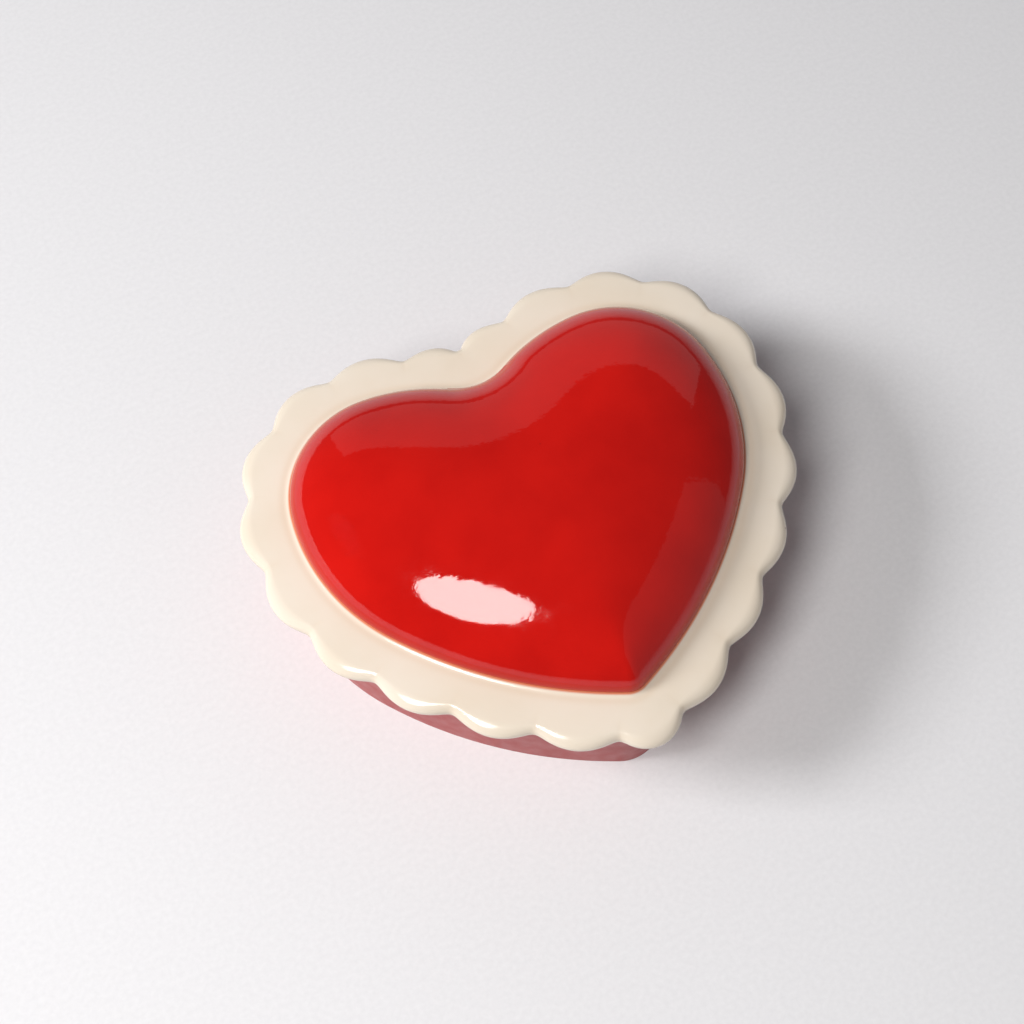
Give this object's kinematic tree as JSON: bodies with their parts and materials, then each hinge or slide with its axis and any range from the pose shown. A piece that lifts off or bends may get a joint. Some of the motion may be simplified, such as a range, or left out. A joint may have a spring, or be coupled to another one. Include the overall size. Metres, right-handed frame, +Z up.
{
  "type": "wind-up music box",
  "caption": "Heart-shaped glazed box with a lift-off scalloped lid, a wind-up comb movement inside and a winding key under its floor.",
  "frame": {"origin": "on the surface it stands on, under the middle of the lid's scalloped rim", "axes": "+Z up, +Y towards the heart's cleft, -Y towards its tip, +X towards the right lobe"},
  "size_m": [0.1494, 0.1322, 0.0575],
  "materials": {
    "cream_glaze": "gloss",
    "red_glaze": "gloss",
    "base_glaze": "satin",
    "felt": "matte",
    "plated_steel": "satin",
    "brass": "satin",
    "zinc": "satin",
    "spring_steel": "satin",
    "comb_steel": "satin",
    "clear_plastic": "clear",
    "white_plastic": "satin",
    "dark_plastic": "satin",
    "screw_steel": "satin"
  },
  "bodies": {
    "base": {"base_shell": "base_glaze", "tray_felt": "felt", "bedplate": "plated_steel", "winding_bush": "brass", "spring_housing": "zinc", "housing_cap": "zinc", "mainspring": "spring_steel", "bearing_bracket": "zinc", "comb_block": "zinc", "comb": "comb_steel", "governor_frame": "zinc", "movement_cover": "clear_plastic", "plunger_guide": "white_plastic", "lever_post": "plated_steel", "lever_pin": "comb_steel", "movement_screws": "screw_steel", "cover_screws": "screw_steel", "comb_screws": "screw_steel"},
    "lid": {"lid_rim": "cream_glaze", "lid_heart_dome": "red_glaze"},
    "key": {"winding_key": "brass", "winding_arbor": "comb_steel", "ratchet_wheel": "comb_steel"},
    "great_wheel": {"great_wheel": "brass", "ratchet_click": "brass", "click_spring": "spring_steel"},
    "drum": {"pinned_drum": "brass", "drum_pins": "comb_steel", "drum_arbor": "comb_steel", "drum_pinion": "brass", "drum_wheel": "white_plastic"},
    "governor": {"governor_pinion": "brass", "governor_arbor": "comb_steel", "worm_wheel": "white_plastic"},
    "fly": {"worm_spindle": "comb_steel", "governor_fan": "dark_plastic"},
    "plunger": {"stop_plunger": "comb_steel"},
    "lever": {"stop_lever": "plated_steel"}
  },
  "joints": [
    {"name": "lid_lift", "type": "slide", "parent": "base", "child": "lid", "axis": [0, 0, 1], "range_m": [0, 0.06]},
    {"name": "key_turn", "type": "hinge", "parent": "base", "child": "key", "pos_m": [-0.016, 0.012, 0.005], "axis": [0, 0, 1], "range_deg": [0, 1890]},
    {"name": "great_wheel_spin", "type": "hinge", "parent": "base", "child": "great_wheel", "pos_m": [-0.016, 0.012, 0.0244], "axis": [0, 0, 1], "continuous": true},
    {"name": "drum_spin", "type": "hinge", "parent": "base", "child": "drum", "pos_m": [0, 0.012, 0.029], "axis": [1, 0, 0], "continuous": true},
    {"name": "governor_spin", "type": "hinge", "parent": "base", "child": "governor", "pos_m": [0.024, 0.02255, 0.029], "axis": [1, 0, 0], "continuous": true},
    {"name": "fly_spin", "type": "hinge", "parent": "base", "child": "fly", "pos_m": [0.024, 0.0284, 0.029], "axis": [0, 0, 1], "continuous": true},
    {"name": "plunger_rise", "type": "slide", "parent": "base", "child": "plunger", "axis": [0, 0, 1], "range_m": [0, 0.003]},
    {"name": "lever_release", "type": "hinge", "parent": "base", "child": "lever", "pos_m": [0.012, 0.0284, 0.0331], "axis": [0, 1, 0], "range_deg": [0, 12]}
  ],
  "couplings": [
    {"joint": "drum_spin", "follows": "great_wheel_spin", "ratio": 2.8571},
    {"joint": "governor_spin", "follows": "great_wheel_spin", "ratio": -7.1429},
    {"joint": "fly_spin", "follows": "great_wheel_spin", "ratio": 128.57},
    {"joint": "plunger_rise", "follows": "lid_lift", "ratio": 0.05},
    {"joint": "lever_release", "follows": "lid_lift", "rad_per_m": 3.45}
  ]
}
